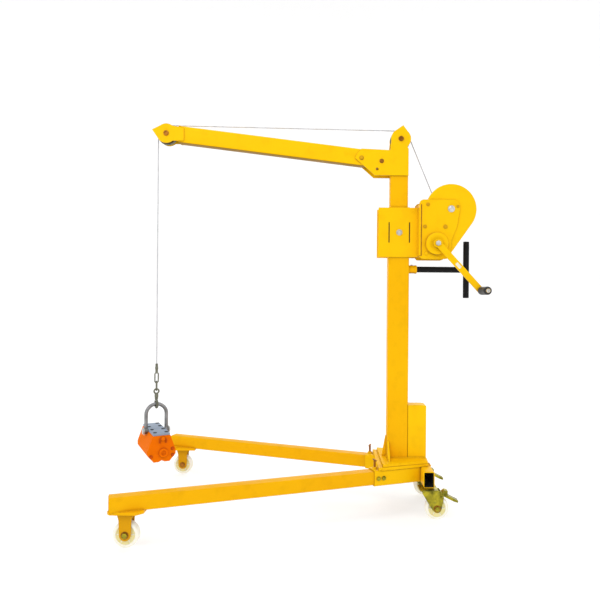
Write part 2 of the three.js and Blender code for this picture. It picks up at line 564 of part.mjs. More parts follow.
function ropes() {
  const shorten = ([x, y, z], [tx, , tz]) => {
    const k = GAP / Math.hypot(tx - x, tz - z);
    return [x + (tx - x) * k, y, z + (tz - z) * k];
  };
  const back = [shorten(BACK_RUN[0], BACK_RUN[1]), BACK_RUN[1]];
  add("rope_back_run", straightRope(...back), ROPE);
  const top = join(wrap(MAST_PULLEY, bearing(MAST_PULLEY, BACK_RUN[0]), bearing(MAST_PULLEY, TOP_RUN[1]), 6),
    straightRope(...TOP_RUN), wrap(TIP_PULLEY, bearing(TIP_PULLEY, TOP_RUN[0]), 180, 8));
  add("rope_top_run", top, ROPE);
  add("rope_fall", straightRope([FALL_X, 0, TIP_PULLEY[1] - GAP], [FALL_X, 0, EYE_TOP + GAP]), ROPE);
}

// ---------- hook and load ----------
function hookSet() {
  const group = new THREE.Group();
  group.position.x = FALL_X;
  group.rotation.z = HOOK_TURN;
  crane.add(group);

  const sleeve = join(rod("z", 0, 0, 6, 620, EYE_TOP, 16), hexHead("z", 0, 0, 7.5, 640, 652));
  const eye = join(sleeve, link(8, 577, 625, 3));
  add("rope_eye", eye, ROPE, group);
  add("chain_link", link(7.5, 540, 583.4, 3, "y"), STEEL, group);
  const collar = cut(join(ring(536.4, 11, 4), rod("z", 0, 0, 9, 506, 524)), rod("z", 0, 0, 5, 500, 518, 16));
  add("hook_eye", collar, STEEL, group);

  const { bowl, rod: r, z, neck } = HOOK;
  const arc = arcPoints(0, z, bowl, 180, 360, 12).map(([y, h]) => [0, y, h]);
  const curve = [[0, 0, neck - 5], [0, -14, neck - 8], ...arc, [0, bowl - 2, z + 15]];
  const shank = join(rod("z", 0, 0, 4.5, neck - 3, 517, 16), rod("z", 0, 0, 8, neck - 5, 506 - GAP, 16));
  add("hook", join(bar(curve, r, 22, 8), shank), STEEL, group);
  const flap = polygon([[1.6, 490.5], [13.8, 490.5], [13.8, 492.5], [1.6, 492.5]]);
  const wide = 6;
  add("hook_latch", plate(flap, -wide, wide).rotate([0, 0, 90]), STEEL, group);
  return group;
}

function load(group) {
  const { half, rod: r, topZ, pinZ, pinR, ear } = SHACKLE;
  const arch = arcPoints(0, topZ - half, half, 180, 0, 14).map(([x, z]) => [x, 0, z]);
  const legs = [[-half, 0, pinZ], [-half, 0, pinZ + 35], ...arch, [half, 0, pinZ + 35], [half, 0, pinZ]];
  const ears = [-half, half].map((x) => rod("x", 0, pinZ, ear, x - r, x + r));
  const body = cut(join(bar(legs, r, 26, 8), ...ears), rod("x", 0, pinZ, pinR + GAP, -90, 90));
  add("shackle", body, STEEL, group);

  const { length, halfWide, halfTop, halfFoot, groove, hubR, hubZ } = MAGNET;
  const { bottom, foot, shoulder, neck, top } = MAGNET_Z;
  const outline = polygon([[-halfFoot, bottom], [-groove, bottom], [0, bottom + groove / 2], [groove, bottom],
    [halfFoot, bottom], [halfWide, foot], [halfWide, shoulder], [halfTop, neck], [halfTop, top],
    [-halfTop, top], [-halfTop, neck], [-halfWide, shoulder], [-halfWide, foot]]);
  const hub = rod("y", 0, hubZ, hubR, -length / 2 - 12, -length / 2 + 2, 20);
  const block = join(plate(outline, -length / 2, length / 2), hub);
  const pockets = [-1, 1].map((end) => rod("x", 0, pinZ, ear + 2 * GAP, Math.min(end * halfTop, end * 90),
    Math.max(end * halfTop, end * 90)));
  add("magnet_body", cut(block, rod("x", 0, pinZ, pinR + GAP, -90, 90), ...pockets), ORANGE, group);
  const out = half + r + GAP;
  add("shackle_pin", join(rod("x", 0, pinZ, pinR, -out - 4, out + 4),
    hexHead("x", 0, pinZ, 13, -out - 9, -out), hexHead("x", 0, pinZ, 13, out, out + 9)), STEEL, group);
}

base();
legs();
frontCasters();
rearCasters();
bracket();
winchFrame();
winchMovers();
pushHandle();
upperMast();
boom();
pulleys();
ropes();
load(hookSet());

export default crane;
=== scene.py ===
import math

import bmesh
import bpy
from mathutils import Matrix, Vector


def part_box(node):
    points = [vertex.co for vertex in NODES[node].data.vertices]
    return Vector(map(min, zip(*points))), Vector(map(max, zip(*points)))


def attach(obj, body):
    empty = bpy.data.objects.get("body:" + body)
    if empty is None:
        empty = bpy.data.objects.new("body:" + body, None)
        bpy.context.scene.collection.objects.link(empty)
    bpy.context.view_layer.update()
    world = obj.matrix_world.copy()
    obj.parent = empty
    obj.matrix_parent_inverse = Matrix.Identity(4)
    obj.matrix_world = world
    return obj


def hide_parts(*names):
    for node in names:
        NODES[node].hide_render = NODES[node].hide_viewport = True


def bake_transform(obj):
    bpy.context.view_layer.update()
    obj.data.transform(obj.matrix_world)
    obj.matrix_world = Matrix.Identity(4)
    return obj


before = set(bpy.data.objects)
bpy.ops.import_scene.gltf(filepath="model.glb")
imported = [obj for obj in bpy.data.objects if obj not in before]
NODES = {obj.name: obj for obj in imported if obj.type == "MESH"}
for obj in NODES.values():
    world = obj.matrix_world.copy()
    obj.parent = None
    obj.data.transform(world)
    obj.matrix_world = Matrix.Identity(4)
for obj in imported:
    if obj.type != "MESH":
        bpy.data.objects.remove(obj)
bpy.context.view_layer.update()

MM = 0.001
SIDES = (("near", -1), ("far", 1))


def centre(node):
    low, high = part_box(node)
    return (Vector(low) + Vector(high)) / 2


MAST_X = centre("lower_mast").x


# ---------------------------------------------------------------- camera, floor and light
CAMERA_AT = Vector((MAST_X - 0.362, -2.865, 1.007))
CAMERA_ROLL = math.radians(0.46)
LENS = 36.0
SENSOR = 36.0
SHIFT = (-0.0365, -0.0102)


def make_camera():
    data = bpy.data.cameras.new("camera")
    data.lens, data.sensor_width = LENS, SENSOR
    data.shift_x, data.shift_y = SHIFT
    camera = bpy.data.objects.new("camera", data)
    bpy.context.scene.collection.objects.link(camera)
    level = Matrix.Rotation(math.radians(90), 4, "X")
    camera.matrix_world = Matrix.Translation(CAMERA_AT) @ level @ Matrix.Rotation(CAMERA_ROLL, 4, "Z")
    bpy.context.scene.camera = camera


def area_light(name, place, target, size, power):
    data = bpy.data.lights.new(name, "AREA")
    data.shape, data.size, data.energy = "DISK", size, power
    light = bpy.data.objects.new(name, data)
    light.location = place
    light.rotation_euler = (Vector(target) - Vector(place)).to_track_quat("-Z", "Y").to_euler()
    bpy.context.scene.collection.objects.link(light)


def make_studio():
    scene = bpy.context.scene
    scene.view_settings.view_transform = "Standard"
    world = bpy.data.worlds.new("studio")
    world.use_nodes = True
    background = world.node_tree.nodes["Background"]
    background.inputs["Color"].default_value = (1.0, 1.0, 1.0, 1)
    background.inputs["Strength"].default_value = 0.46
    scene.world = world
    middle = (0, 0, 0.9)
    area_light("key", (-2.0, -3.4, 3.8), middle, 2.6, 37)
    area_light("fill", (3.4, -3.0, 1.8), middle, 3.0, 14)
    area_light("top", (-0.6, -0.4, 4.2), middle, 2.6, 37)
    area_light("back", (1.0, 4.0, 3.2), middle, 3.0, 45)

    flat, bend, tall, around = 5.0, 3.0, 9.0, 96
    curve = [(flat + bend * math.sin(t), bend * (1 - math.cos(t)))
             for t in (math.pi / 2 * i / 24 for i in range(25))] + [(flat + bend, tall)]
    turns = [2 * math.pi * i / around for i in range(around)]
    centre_disc = tuple(range(around))
    rings = [(row * around, (row + 1) * around) for row in range(len(curve) - 1)]
    bowl = [(a + i, b + i, b + (i + 1) % around, a + (i + 1) % around)
            for a, b in rings for i in range(around)]
    mesh = bpy.data.meshes.new("studio_floor")
    mesh.from_pydata([(q * math.cos(t), q * math.sin(t), z) for q, z in curve for t in turns], [],
                     [centre_disc] + bowl)
    mesh.shade_smooth()
    floor = bpy.data.objects.new("studio_floor", mesh)
    scene.collection.objects.link(floor)
    material = bpy.data.materials.new("studio_floor")
    material.use_nodes = True
    shader = material.node_tree.nodes["Principled BSDF"]
    shader.inputs["Base Color"].default_value = (0.6, 0.6, 0.6, 1)
    shader.inputs["Roughness"].default_value = 0.8
    shader.inputs["Specular IOR Level"].default_value = 0.1
    shader.inputs["Emission Color"].default_value = (1, 1, 1, 1)
    shader.inputs["Emission Strength"].default_value = 0.49
    mesh.materials.append(material)


make_camera()
make_studio()


# ---------------------------------------------------------------- materials
class Graph:
    """A material's node tree, with short calls for the nodes used here."""

    def __init__(self, name):
        self.material = bpy.data.materials.new(name)
        self.material.use_nodes = True
        self.tree = self.material.node_tree
        self.shader = self.tree.nodes["Principled BSDF"]
        self.place = self.tree.nodes.new("ShaderNodeTexCoord").outputs["Object"]

    def node(self, kind, inputs=(), **settings):
        made = self.tree.nodes.new(kind)
        for key, value in settings.items():
            setattr(made, key, value)
        for key, value in dict(inputs).items():
            if isinstance(value, bpy.types.NodeSocket):
                self.tree.links.new(value, made.inputs[key])
            else:
                made.inputs[key].default_value = value
        return made

    def stretched(self, scale):
        return self.node("ShaderNodeMapping", {"Vector": self.place, "Scale": scale}).outputs[0]

    def noise(self, scale, detail=3.0, vector=None):
        vector = vector or self.place
        found = self.node("ShaderNodeTexNoise", {"Vector": vector, "Scale": scale, "Detail": detail})
        return found.outputs["Fac"]

    def ramp(self, value, *stops):
        """Colour stops as (position, grey or (r, g, b))."""
        made = self.node("ShaderNodeValToRGB", {"Fac": value})
        elements = made.color_ramp.elements
        while len(elements) < len(stops):
            elements.new(0.5)
        for element, (position, colour) in zip(elements, stops):
            element.position = position
            rgb = colour if isinstance(colour, tuple) else (colour,) * 3
            element.color = (*rgb, 1)
        return made.outputs["Color"]

    def mix(self, factor, first, second):
        made = self.node("ShaderNodeMix", {0: factor}, data_type="RGBA")
        for index, value in ((6, first), (7, second)):
            if isinstance(value, bpy.types.NodeSocket):
                self.tree.links.new(value, made.inputs[index])
            else:
                made.inputs[index].default_value = (*value, 1)
        return made.outputs[2]

    def times(self, first, second):
        return self.node("ShaderNodeMath", {0: first, 1: second}, operation="MULTIPLY").outputs[0]

    def edges(self, radius):
        """1 along outer and inner edges, 0 on flat faces."""
        soft = self.node("ShaderNodeBevel", {"Radius": radius}, samples=3).outputs[0]
        sharp = self.node("ShaderNodeNewGeometry").outputs["Normal"]
        same = self.node("ShaderNodeVectorMath", {0: soft, 1: sharp}, operation="DOT_PRODUCT")
        return self.ramp(same.outputs["Value"], (0.86, 1.0), (0.985, 0.0))

    def corners(self, reach):
        """1 deep in corners and gaps, 0 on open faces; the mask for painted shade."""
        open_sky = self.node("ShaderNodeAmbientOcclusion", {"Distance": reach}, samples=6).outputs["AO"]
        return self.ramp(open_sky, (0.42, 1.0), (0.86, 0.0))

    def underside_shade(self):
        """1 on faces that look down, 0 on the rest; the mask for painted shade."""
        normal = self.node("ShaderNodeNewGeometry").outputs["Normal"]
        rise = self.node("ShaderNodeSeparateXYZ", {0: normal}).outputs["Z"]
        return self.ramp(self.node("ShaderNodeMath", {0: rise, 1: -1.0}, operation="MULTIPLY").outputs[0],
                         (0.6, 0.0), (0.95, 1.0))

    def bump(self, height, strength, distance, under=None):
        inputs = {"Height": height, "Strength": strength, "Distance": distance}
        if under is not None:
            inputs["Normal"] = under
        return self.node("ShaderNodeBump", inputs).outputs["Normal"]

    def connect(self, **sockets):
        for name, value in sockets.items():
            self.tree.links.new(value, self.shader.inputs[name.replace("_", " ")])

    def constants(self, **values):
        for name, value in values.items():
            self.shader.inputs[name.replace("_", " ")].default_value = value


def enamel(name, colour, shade, worn, wear=0.5, gloss=(0.34, 0.5), shine=0.05):
    """Sprayed enamel: slow colour drift, orange peel, chips along the edges and faint scuffs, with painted shade
    in corners and gaps and on faces that look down.
    """
    g = Graph(name)
    drift = g.ramp(g.noise(2.6, 2.0), (0.35, 0.0), (0.7, 1.0))
    paint = g.mix(g.times(drift, 0.55), colour, shade)
    grime = g.ramp(g.noise(19.0, 6.0), (0.52, 0.0), (0.8, 0.32))
    paint = g.mix(grime, paint, tuple(c * 0.72 for c in shade))
    flakes = g.ramp(g.noise(70.0, 5.0), (0.62 - 0.14 * wear, 0.0), (0.66 - 0.1 * wear, 1.0))
    chips = g.times(g.edges(0.0016), flakes)
    paint = g.mix(chips, paint, worn)
    # Painted shade: corners and gaps are darkened towards the worn colour.
    paint = g.mix(g.times(g.corners(0.014), 0.62), paint, worn)
    # Painted shade: faces that look down are darkened to a dark brown.
    paint = g.mix(g.times(g.underside_shade(), 0.8), paint, tuple(c * 0.3 for c in worn))
    scuffs = g.ramp(g.noise(9.0, 8.0), (0.3, gloss[0]), (0.75, gloss[1]))
    peel = g.bump(g.noise(420.0, 2.0), 0.18, 0.0004)
    relief = g.bump(g.noise(38.0, 3.0), 0.12, 0.0016, peel)
    g.connect(Base_Color=paint, Roughness=scuffs, Normal=relief)
    g.constants(Specular_IOR_Level=shine)
    return g.material


def bare_metal(name, colour, dark, rough=(0.28, 0.46), grain=(1, 1, 1)):
    """Machined or forged steel with a fine grain, dark film in patches and a painted highlight along the edges.
    """
    g = Graph(name)
    film = g.ramp(g.noise(34.0, 5.0), (0.38, 0.0), (0.72, 1.0))
    tone = g.mix(film, colour, dark)
    # Painted highlight: the colour is lightened along the edges.
    bright = g.times(g.edges(0.0012), 0.6)
    tone = g.mix(bright, tone, tuple(min(1.0, c * 1.35) for c in colour))
    lines = g.noise(320.0, 2.0, g.stretched(grain))
    g.connect(Base_Color=tone, Roughness=g.ramp(g.noise(55.0, 4.0), (0.3, rough[0]), (0.75, rough[1])),
              Normal=g.bump(lines, 0.2, 0.0003))
    g.constants(Metallic=1.0)
    return g.material


def zinc_plate(name):
    """Yellow passivated zinc: brassy with olive and faint blue patches."""
    g = Graph(name)
    patches = g.ramp(g.noise(24.0, 4.0), (0.35, 0.0), (0.65, 1.0))
    warm = g.mix(patches, (0.46, 0.39, 0.025), (0.075, 0.075, 0.008))
    tint = g.mix(g.ramp(g.noise(60.0, 2.0), (0.56, 0.0), (0.74, 0.35)), warm, (0.14, 0.16, 0.08))
    g.connect(Base_Color=tint, Roughness=g.ramp(g.noise(70.0, 4.0), (0.3, 0.24), (0.7, 0.42)),
              Normal=g.bump(g.noise(260.0, 3.0), 0.14, 0.0003))
    g.constants(Metallic=0.85)
    return g.material


def nylon(name, colour, shade, scuff):
    """Cast nylon: milky, faintly marbled, with scuffed edges."""
    g = Graph(name)
    marble = g.ramp(g.noise(14.0, 4.0), (0.35, 0.0), (0.7, 1.0))
    tone = g.mix(marble, colour, shade)
    marks = g.times(g.edges(0.003), g.ramp(g.noise(60.0, 6.0), (0.5, 0.0), (0.62, 0.7)))
    g.connect(Base_Color=g.mix(marks, tone, scuff),
              Roughness=g.ramp(g.noise(40.0, 5.0), (0.3, 0.34), (0.75, 0.55)),
              Normal=g.bump(g.noise(210.0, 4.0), 0.16, 0.0006))
    g.constants(Subsurface_Weight=0.15, Subsurface_Radius=(0.004, 0.003, 0.002), Subsurface_Scale=1.0)
    return g.material


def moulded_black(name, tone, rough, pebble):
    """Moulded rubber or plastic with a fine pebble."""
    g = Graph(name)
    colour = g.mix(g.ramp(g.noise(30.0, 5.0), (0.45, 0.0), (0.8, 1.0)), tone, tuple(c * 2.2 for c in tone))
    g.connect(Base_Color=colour, Roughness=g.ramp(g.noise(45.0, 4.0), (0.3, rough[0]), (0.7, rough[1])),
              Normal=g.bump(g.noise(pebble, 2.0), 0.3, 0.0004))
    return g.material


YELLOW = enamel("yellow_enamel", (0.9, 0.53, 0.002), (0.87, 0.46, 0.002), (0.42, 0.2, 0.015))
MAST_YELLOW = enamel("mast_enamel", (0.86, 0.455, 0.001), (0.82, 0.4, 0.001), (0.42, 0.18, 0.012))
LEG_YELLOW = enamel("leg_enamel", (0.84, 0.43, 0.001), (0.8, 0.37, 0.001), (0.42, 0.18, 0.012))
FORK_YELLOW = enamel("fork_enamel", (0.68, 0.33, 0.004), (0.6, 0.27, 0.004), (0.3, 0.15, 0.015), 0.8)
WORN_YELLOW = enamel("worn_enamel", (0.62, 0.33, 0.01), (0.45, 0.22, 0.01), (0.3, 0.15, 0.02), 0.9)
ORANGE = enamel("orange_enamel", (0.84, 0.18, 0.002), (0.76, 0.13, 0.002), (0.3, 0.08, 0.01), 0.8,
                (0.5, 0.65), 0.01)
ORANGE_DARK = enamel("dark_orange_enamel", (0.6, 0.09, 0.004), (0.45, 0.06, 0.004), (0.2, 0.05, 0.01), 0.8)
BLACK_PAINT = enamel("black_enamel", (0.013, 0.013, 0.014), (0.009, 0.009, 0.009), (0.09, 0.09, 0.085), 0.4)
STEEL = bare_metal("bright_steel", (0.62, 0.62, 0.6), (0.4, 0.4, 0.38))
DARK_STEEL = bare_metal("oiled_steel", (0.22, 0.22, 0.17), (0.1, 0.1, 0.075), (0.35, 0.55))
ZINC = zinc_plate("yellow_zinc")
NYLON = nylon("cast_nylon", (0.9, 0.88, 0.8), (0.86, 0.82, 0.66), (0.5, 0.44, 0.3))
HUB = nylon("hub_nylon", (0.88, 0.82, 0.42), (0.84, 0.72, 0.3), (0.5, 0.4, 0.2))
RUBBER = moulded_black("black_grip", (0.016, 0.016, 0.017), (0.45, 0.65), 500.0)
BOLT_DARK = bare_metal("dark_bolt", (0.42, 0.17, 0.025), (0.2, 0.08, 0.015), (0.35, 0.55))
LINK_STEEL = bare_metal("forged_steel", (0.3, 0.3, 0.31), (0.15, 0.15, 0.14), (0.35, 0.5))
LABEL = nylon("blank_label", (0.86, 0.82, 0.66), (0.8, 0.74, 0.55), (0.5, 0.44, 0.3))
ROPE = bare_metal("galvanised_wire", (0.56, 0.56, 0.58), (0.38, 0.38, 0.4), (0.45, 0.6))
# Painted shade: a near-black material for the insides of tubes and covers, where shade falls.
HOLLOW_SHADE = moulded_black("tube_inside_painted_shade", (0.012, 0.011, 0.009), (0.7, 0.9), 120.0)
PLATE_BLUE = enamel("blue_grey_enamel", (0.3, 0.36, 0.45), (0.22, 0.27, 0.36), (0.5, 0.5, 0.5), 0.6)


# -------------------------------------------------- shapes, in millimetres from the mast's centre
ROPE_X = -1148.0      # the rope falls here
HOOK_TURN = math.radians(27)
DRUM = (238.0, 1408.0)


def arc(a, b, r, start, end, steps):
    turn = math.radians((end - start) / steps)
    first = math.radians(start)
    angles = [first + turn * i for i in range(steps + 1)]
    return [(a + r * math.cos(t), b + r * math.sin(t)) for t in angles]


def axis_point(axis, a, b, t):
    return {"x": (t, a, b), "y": (a, t, b), "z": (a, b, t)}[axis]


def strip(loops, closed=False, caps=True, index=0):
    """Skin over loops of equal length. A shape is (points, faces, material index of each face)."""
    size = len(loops[0])
    points = [p for loop in loops for p in loop]
    pairs = [(i, i + 1) for i in range(len(loops) - 1)] + ([(len(loops) - 1, 0)] if closed else [])
    faces = [(a * size + k, a * size + (k + 1) % size, b * size + (k + 1) % size, b * size + k)
             for a, b in pairs for k in range(size)]
    if caps and not closed:
        faces += [tuple(range(size))[::-1], tuple(range(len(points) - size, len(points)))]
    return points, faces, [index] * len(faces)


def lathe(axis, a, b, profile, sides=48, closed=False, hub=None):
    """Turned about an axis through (a, b). Faces inside radius hub take the second material."""
    rings = [(arc(a, b, max(r, 1e-4), 0, 360, sides)[:-1], t) for r, t in profile]
    loops = [[axis_point(axis, u, v, t) for u, v in ring] for ring, t in rings]
    points, faces, index = strip(loops, closed, caps=False)
    if hub:
        radii = [r for r, _ in profile for _ in range(sides)]
        index = [int(max(radii[k] for k in face) < hub) for face in faces]
    return points, faces, index


def rod(axis, a, b, r, t0, t1, edge=0.8, sides=32):
    profile = [(0, t0), (r - edge, t0), (r, t0 + edge), (r, t1 - edge), (r - edge, t1), (0, t1)]
    return lathe(axis, a, b, profile, sides)


def hex_head(axis, a, b, r, seat, top, washer=True):
    """A hexagon head chamfered at the top, on a washer."""
    way = 1 if top > seat else -1
    foot = seat + (1.6 * way if washer else 0)
    shoulder = foot + (top - foot) * 0.75
    head = lathe(axis, a, b, [(0, foot), (r, foot), (r, shoulder), (r * 0.84, top), (0, top)], 6)
    if not washer:
        return head
    wide = r * 1.22
    return join(head, lathe(axis, a, b, [(0, seat), (wide, seat), (wide, foot), (0, foot)], 32))


def prism(outline, t0, t1, axis="y"):
    loops = [[axis_point(axis, a, b, t) for a, b in outline] for t in (t0, t1)]
    return strip(loops)


def join(*shapes):
    points, faces, index = [], [], []
    for p, f, m in shapes:
        start = len(points)
        points += p
        faces += [tuple(k + start for k in face) for face in f]
        index += m
    return points, faces, index


def frames_along(path):
    """A side and an up vector at each point of a path, turned as little as possible from point to point."""
    path = [Vector(p) for p in path]
    ways = [(path[min(i + 1, len(path) - 1)] - path[max(i - 1, 0)]).normalized() for i in range(len(path))]
    side = ways[0].orthogonal().normalized()
    found = []
    for way in ways:
        side = (side - way * side.dot(way)).normalized()
        found.append((side, way.cross(side)))
    return path, found


def bar(path, radius, sides=12, closed=False, squash=1.0):
    """A round bar along a path; radius is a number or one for each point."""
    path, frames = frames_along(path)
    radii = radius if isinstance(radius, list) else [radius] * len(path)
    loops = [[tuple(p + side * u + up * v * squash) for u, v in arc(0, 0, r, 0, 360, sides)[:-1]]
             for p, (side, up), r in zip(path, frames, radii)]
    return strip(loops, closed)


def between(a, b, steps):
    a, b = Vector(a), Vector(b)
    return [tuple(a.lerp(b, i / steps)) for i in range(steps + 1)]


def weld(a, b, r=2.6):
    """A hand-laid weld bead with its ripples."""
    length = (Vector(b) - Vector(a)).length
    steps = max(4, int(length / 2.2))
    radii = [r * (1 + 0.16 * math.sin(i * 2.4) + 0.1 * math.sin(i * 0.7)) for i in range(steps + 1)]
    radii[0] = radii[-1] = r * 0.4
    return bar(between(a, b, steps), radii, 8)


def rope(path, r, lay=32.0, strands=6):
    """Wire rope: strands laid round the path."""
    path, frames = frames_along(path)
    travelled, shapes = 0.0, []
    turns = []
    for i, p in enumerate(path):
        travelled += (p - path[i - 1]).length if i else 0.0
        turns.append(travelled / lay * 2 * math.pi)
    for k in range(strands):
        phase = 2 * math.pi * k / strands
        line = [tuple(p + (side * math.cos(t + phase) + up * math.sin(t + phase)) * r * 0.6)
                for p, (side, up), t in zip(path, frames, turns)]
        shapes.append(bar(line, r * 0.4, 6))
    shapes.append(bar([tuple(p) for p in path], r * 0.34, 6))
    return join(*shapes)


def round_box(width, height, corner, steps=5):
    w, h = width / 2 - corner, height / 2 - corner
    corners = ((w, h, 0), (-w, h, 90), (-w, -h, 180), (w, -h, 270))
    return [p for a, b, start in corners for p in arc(a, b, corner, start, start + 90, steps)]


def square_tube(a, b, width, height, wall, corner=7.0, up=(0, 0, 1), planes=(None, None),
                shut=(False, False)):
    """A drawn tube with round corners from a to b; its inside takes the second material.

    planes mitre an end at that x, and shut closes an end with a wall.
    """
    a, b = Vector(a), Vector(b)
    way = (b - a).normalized()
    side = way.cross(Vector(up)).normalized()
    rise = side.cross(way)

    def loop(end, section, plane, depth=0.0):
        made = []
        for u, v in section:
            p = end + side * u + rise * v
            if plane is not None:
                p = p + way * ((plane - p.x) / way.x)
            made.append(tuple(p + way * depth))
        return made

    outer = round_box(width, height, corner)
    inner = round_box(width - 2 * wall, height - 2 * wall, max(corner - wall, 1.0))
    starts = (loop(a, outer, planes[0]), loop(a, inner, planes[0], wall if shut[0] else 0.0))
    ends = (loop(b, outer, planes[1]), loop(b, inner, planes[1], -wall if shut[1] else 0.0))
    skin = [strip([starts[0], ends[0]], caps=False), strip([ends[1], starts[1]], caps=False, index=1)]
    for is_shut, (out, inn) in ((shut[0], starts), (shut[1], ends)):
        if is_shut:
            skin += [(out, [tuple(range(len(out)))], [0]), (inn, [tuple(range(len(inn)))], [1])]
        else:
            skin.append(strip([out, inn], caps=False))
    return join(*skin)


def hung(shape):
    """A shape built about the rope's line, turned with the hook and put in its place."""
    points, faces, index = shape
    c, s = math.cos(HOOK_TURN), math.sin(HOOK_TURN)
    return [(ROPE_X + x * c - y * s, x * s + y * c, z) for x, y, z in points], faces, index


def piece(name, shape, materials, body, stands_for=(), soften=0.0, sharp=38.0):
    """Makes the mesh, gives it its materials, and lets it ride its CAD body."""
    points, faces, index = shape
    mesh = bpy.data.meshes.new(name)
    mesh.from_pydata([(MAST_X + x * MM, y * MM, z * MM) for x, y, z in points], [], faces)
    for material in materials:
        mesh.materials.append(material)
    mesh.polygons.foreach_set("material_index", [min(k, len(materials) - 1) for k in index])
    work = bmesh.new()
    work.from_mesh(mesh)
    bmesh.ops.remove_doubles(work, verts=work.verts, dist=0.00002)
    bmesh.ops.recalc_face_normals(work, faces=work.faces)
    work.to_mesh(mesh)
    work.free()
    mesh.shade_smooth()
    mesh.set_sharp_from_angle(angle=math.radians(sharp))
    made = bpy.data.objects.new(name, mesh)
    bpy.context.scene.collection.objects.link(made)
    if soften:
        soft_edges(made, soften)
    if body:
        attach(made, body)
    if stands_for:
        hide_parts(*stands_for)
    return made


def soft_edges(target, width):
    bevel = target.modifiers.new("edges", "BEVEL")
    bevel.width, bevel.segments, bevel.limit_method = width * MM, 2, "ANGLE"
    bevel.angle_limit = math.radians(40)
    bevel.harden_normals = True


# ---------------------------------------------------------------- base, legs and mast
LEG_FRONT, LEG_REAR = Vector((-1190, 516.7, 0)), Vector((-207, 167.7, 0))
LEG_MID, LEG_SIDE, SOCKET_SIDE = 178.0, 60, 70
SOCKET_TOP_WELD, PAD_Z = 212.6, (140, 152)
# The second material of each pair is the painted shade inside the tubes.
PAINTED = (YELLOW, HOLLOW_SHADE)
LEG_PAINT = (LEG_YELLOW, HOLLOW_SHADE)
MAST_PAINT = (MAST_YELLOW, HOLLOW_SHADE)


def leg_point(x, side, across=0.0, z=LEG_MID):
    """A point on a leg's centreline at that x, moved across it (outwards +)."""
    way = (LEG_REAR - LEG_FRONT).normalized()
    spot = LEG_REAR + way * ((x - LEG_REAR.x) / way.x)
    out = Vector((-way.y, way.x, 0)) * (1 if way.x > 0 else -1)
    spot = spot + out * across
    return (spot.x, side * spot.y, z)


def make_legs():
    for name, side in SIDES:
        tube = square_tube(leg_point(LEG_FRONT.x, side), leg_point(62, side), LEG_SIDE, LEG_SIDE, 3, 6.5,
                           shut=(True, False))
        x0, x1, out, inn, cut = -1193, -1053, side * 537, side * 430, side * 24
        outline = [(x0, inn), (x1, inn), (x1, out - cut), (x1 - 24, out), (x0 + 12, out),
                   (x0, out - cut / 2)]
        pad = prism(outline, *PAD_Z, "z")
        beads = [weld(leg_point(-1186, side, y, 151.5), leg_point(-1066, side, y, 151.5), 2.1)
                 for y in (-29.8, 29.8)]
        piece(f"{name}_leg_tube", join(tube, pad, *beads), LEG_PAINT, f"leg_{name}",
              [f"{name}_leg"], 1.2)
        cap = prism([(a, LEG_MID + b) for a, b in round_box(52, 52, 5)], 0, 1.6)
        way = Vector(leg_point(LEG_FRONT.x, side)) - Vector(leg_point(-1100, side))
        turn = Matrix.Rotation(math.atan2(way.y, way.x) - math.pi / 2, 3, "Z")
        front = Vector(leg_point(LEG_FRONT.x, side))
        points = [tuple(turn @ Vector((x, y, 0)) + Vector((front.x, front.y, z))) for x, y, z in cap[0]]
        piece(f"{name}_leg_end_cap", (points, cap[1], cap[2]), (LEG_YELLOW,), f"leg_{name}",
              (), 0.5)

        socket = square_tube(leg_point(-130, side), leg_point(110, side), SOCKET_SIDE, SOCKET_SIDE, 4, 8,
                             planes=(None, 99.4))
        sx, sy, _ = leg_point(-116, side)
        nut = lathe("z", sx, sy, [(5.6, 212), (10.5, 212), (10.5, 220), (9, 222), (5.6, 222)], 6,
                    closed=True)
        seam = lathe("z", sx, sy, [(9.5, 212.4), (13.5, 213), (12, 215), (9.5, 216)], 24, closed=True)
        mouth = weld(leg_point(-99, side, 35.4, SOCKET_TOP_WELD), leg_point(96, side, 35.4, SOCKET_TOP_WELD), 2.2)
        piece(f"{name}_socket_tube", join(socket, nut, seam, mouth), PAINTED, "base",
              [f"{name}_leg_socket"], 0.8)
        bolts = []
        for bx in (-112, -88):
            px, py, _ = leg_point(bx, side, SOCKET_SIDE / 2)
            bolts.append(hex_head("y", px, LEG_MID, 8.5, py, py + side * 9))
        piece(f"{name}_socket_bolts", join(*bolts), (ZINC,), "base", (), 0.4)


FLANGE_TOP, LOWER_MAST_TOP = 237.8, 1400
UPPER_MAST_Z = (980, 1686)


def make_base():
    cross = square_tube((125, -177, 176.5), (125, 177, 176.5), 50, 73, 4, 7)
    beads = [weld((x, side * 30, 213.2), (x, side * 82, 213.2)) for x in (101, 149) for _, side in SIDES]
    piece("cross_tube_drawn", join(cross, *beads), PAINTED, "base", ["cross_tube"], 0.8)
    top = FLANGE_TOP
    mast = square_tube((0, 0, top), (0, 0, LOWER_MAST_TOP), 98, 70, 4, 8, up=(0, 1, 0))
    piece("lower_mast_drawn", mast, MAST_PAINT, "base", ["lower_mast"], 0.8)
    foot = [weld((-49, y, top + 1), (134, y, top + 1), 3) for y in (-36, 36)]
    foot += [weld((-50, -34, top + 1), (-50, 34, top + 1), 3)]
    foot += [weld((x, side * 36, 240), (x, side * 40, 312), 2) for x in (-50, -41) for _, side in SIDES]
    foot += [weld((52, y, 484), (120, y, 484), 2) for y in (-32, 32)]
    foot += [weld((-98, -165 * s, 213), (-96, -70 * s, 213), 2.4) for s in (-1, 1)]
    piece("mast_foot_welds", join(*foot), (YELLOW,), "base")
    upper = square_tube(*((0, 0, z) for z in UPPER_MAST_Z), 84, 60, 3.5, 7, up=(0, 1, 0))
    piece("upper_mast_drawn", upper, MAST_PAINT, "mast_extension", ["upper_mast"], 0.8)


FRONT_WHEEL, REAR_WHEEL, WHEEL_RADIUS = (-1128, 488), (160, 166), 52.5
FORK_FACE, WASHER_FACE = 23.5, 25.3    # distances from the middle of the wheel's width


